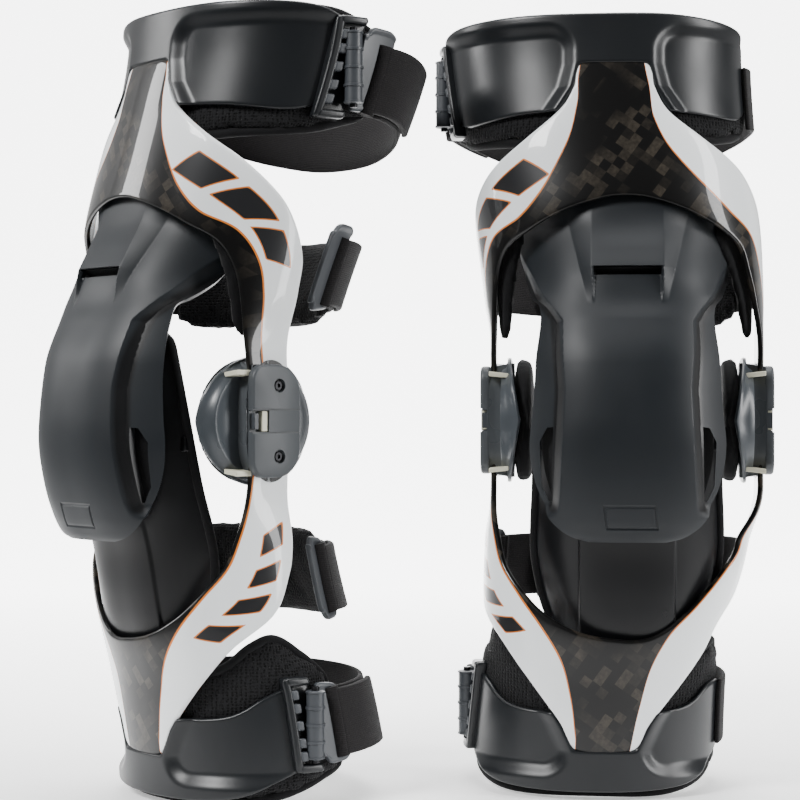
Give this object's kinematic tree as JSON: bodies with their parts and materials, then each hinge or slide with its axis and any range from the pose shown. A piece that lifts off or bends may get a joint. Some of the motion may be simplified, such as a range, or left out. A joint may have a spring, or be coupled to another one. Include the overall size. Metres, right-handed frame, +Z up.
{
  "type": "pair of articulated knee guards",
  "caption": "Pair of hinged motorcycle knee braces with carbon side-arm frames, padded cuffs, floating knee cups and elastic straps.",
  "frame": {"origin": "middle of the pair at the height of the surface it stands on", "axes": "+Z up, -Y towards the viewer in front of the pair, +X towards the right guard"},
  "size_m": [0.4004, 0.2018, 0.4211],
  "materials": {
    "carbon": "clear-coated chopped carbon with a gloss white side band",
    "cuff": "satin charcoal moulding",
    "cup": "satin slate moulding",
    "plate": "dark semi-gloss moulding",
    "cover": "satin mid-grey moulding",
    "shell": "satin blue-grey moulding",
    "clip": "satin grey moulding",
    "steel": "brushed",
    "insert": "pale cream moulding",
    "strap": "fine ribbed elastic webbing",
    "liner": "foam covered with spacer mesh",
    "pad": "soft foam pad"
  },
  "bodies": {
    "left_thigh": {"left_thigh_frame": "carbon", "left_thigh_cuff": "cuff", "left_thigh_liner": "liner", "left_upper_thigh_strap": "strap", "left_lower_thigh_strap": "strap", "left_lower_thigh_clip": "clip"},
    "left_thigh_clip": {"left_upper_thigh_clip": "clip"},
    "left_cup": {"left_knee_cup": "cup"},
    "left_links": {"left_outer_hinge_cover": "cover", "left_outer_hinge_link": "steel", "left_outer_upper_pivot": "steel", "left_outer_lower_pivot": "steel", "left_outer_stop_insert": "insert", "left_outer_pad_shell": "shell", "left_outer_knee_pad": "pad", "left_inner_hinge_cover": "cover", "left_inner_hinge_link": "steel", "left_inner_upper_pivot": "steel", "left_inner_lower_pivot": "steel", "left_inner_stop_insert": "insert", "left_inner_pad_shell": "shell", "left_inner_knee_pad": "pad"},
    "left_shin": {"left_shin_frame": "carbon", "left_shin_cuff": "cuff", "left_shin_liner": "liner", "left_shin_plate": "plate", "left_upper_calf_strap": "strap", "left_upper_calf_clip": "clip", "left_lower_calf_strap": "strap"},
    "left_calf_clip": {"left_lower_calf_clip": "clip"},
    "right_thigh": {"right_thigh_frame": "carbon", "right_thigh_cuff": "cuff", "right_thigh_liner": "liner", "right_upper_thigh_strap": "strap", "right_lower_thigh_strap": "strap", "right_lower_thigh_clip": "clip"},
    "right_thigh_clip": {"right_upper_thigh_clip": "clip"},
    "right_cup": {"right_knee_cup": "cup"},
    "right_links": {"right_outer_hinge_cover": "cover", "right_outer_hinge_link": "steel", "right_outer_upper_pivot": "steel", "right_outer_lower_pivot": "steel", "right_outer_stop_insert": "insert", "right_outer_pad_shell": "shell", "right_outer_knee_pad": "pad", "right_inner_hinge_cover": "cover", "right_inner_hinge_link": "steel", "right_inner_upper_pivot": "steel", "right_inner_lower_pivot": "steel", "right_inner_stop_insert": "insert", "right_inner_pad_shell": "shell", "right_inner_knee_pad": "pad"},
    "right_shin": {"right_shin_frame": "carbon", "right_shin_cuff": "cuff", "right_shin_liner": "liner", "right_shin_plate": "plate", "right_upper_calf_strap": "strap", "right_upper_calf_clip": "clip", "right_lower_calf_strap": "strap"},
    "right_calf_clip": {"right_lower_calf_clip": "clip"}
  },
  "joints": [
    {"name": "left_lower_knee_pivot", "type": "hinge", "parent": "left_shin", "child": "left_links", "pos_m": [-0.12211, -0.02145, 0.18207], "axis": [-0.682, 0.7314, 0], "range_deg": [-5, 55], "deforming": ["left_upper_calf_strap"]},
    {"name": "left_upper_knee_pivot", "type": "hinge", "parent": "left_links", "child": "left_thigh", "pos_m": [-0.12211, -0.02145, 0.22207], "axis": [-0.682, 0.7314, 0], "range_deg": [-5, 55], "deforming": ["left_lower_thigh_strap"]},
    {"name": "left_cup_rock", "type": "hinge", "parent": "left_thigh", "child": "left_cup", "pos_m": [-0.15502, -0.05214, 0.28507], "axis": [-0.682, 0.7314, 0], "range_deg": [0, 8], "stiffness_Nm_per_rad": 0.4},
    {"name": "left_thigh_clip_pin", "type": "hinge", "parent": "left_thigh", "child": "left_thigh_clip", "pos_m": [-0.02887, -0.07486, 0.38707], "axis": [0, 0, -1], "range_deg": [0, 25], "stiffness_Nm_per_rad": 0.2, "deforming": ["left_upper_thigh_strap"]},
    {"name": "left_calf_clip_pin", "type": "hinge", "parent": "left_shin", "child": "left_calf_clip", "pos_m": [-0.04884, -0.07459, 0.04307], "axis": [0, 0, -1], "range_deg": [0, 25], "stiffness_Nm_per_rad": 0.2, "deforming": ["left_lower_calf_strap"]},
    {"name": "right_lower_knee_pivot", "type": "hinge", "parent": "right_shin", "child": "right_links", "pos_m": [0.11989, -0.02145, 0.18207], "axis": [-0.9954, 0.0958, 0], "range_deg": [-5, 55], "deforming": ["right_upper_calf_strap"]},
    {"name": "right_upper_knee_pivot", "type": "hinge", "parent": "right_links", "child": "right_thigh", "pos_m": [0.11989, -0.02145, 0.22207], "axis": [-0.9954, 0.0958, 0], "range_deg": [-5, 55], "deforming": ["right_lower_thigh_strap"]},
    {"name": "right_cup_rock", "type": "hinge", "parent": "right_thigh", "child": "right_cup", "pos_m": [0.11558, -0.06624, 0.28507], "axis": [-0.9954, 0.0958, 0], "range_deg": [0, 8], "stiffness_Nm_per_rad": 0.4},
    {"name": "right_thigh_clip_pin", "type": "hinge", "parent": "right_thigh", "child": "right_thigh_clip", "pos_m": [0.02076, 0.02001, 0.38707], "axis": [0, 0, 1], "range_deg": [0, 25], "stiffness_Nm_per_rad": 0.2, "deforming": ["right_upper_thigh_strap"]},
    {"name": "right_calf_clip_pin", "type": "hinge", "parent": "right_shin", "child": "right_calf_clip", "pos_m": [0.03312, 0.00433, 0.04307], "axis": [0, 0, 1], "range_deg": [0, 25], "stiffness_Nm_per_rad": 0.2, "deforming": ["right_lower_calf_strap"]},
    {"name": "guards_apart", "type": "slide", "parent": "left_shin", "child": "right_shin", "axis": [1, 0, 0], "range_m": [-0.03, 0.31]}
  ],
  "couplings": [
    {"joint": "left_upper_knee_pivot", "follows": "left_lower_knee_pivot", "ratio": 1},
    {"joint": "right_upper_knee_pivot", "follows": "right_lower_knee_pivot", "ratio": 1},
    {"joint": "guards_apart", "follows": "left_lower_knee_pivot", "m_per_rad": 0.32}
  ]
}
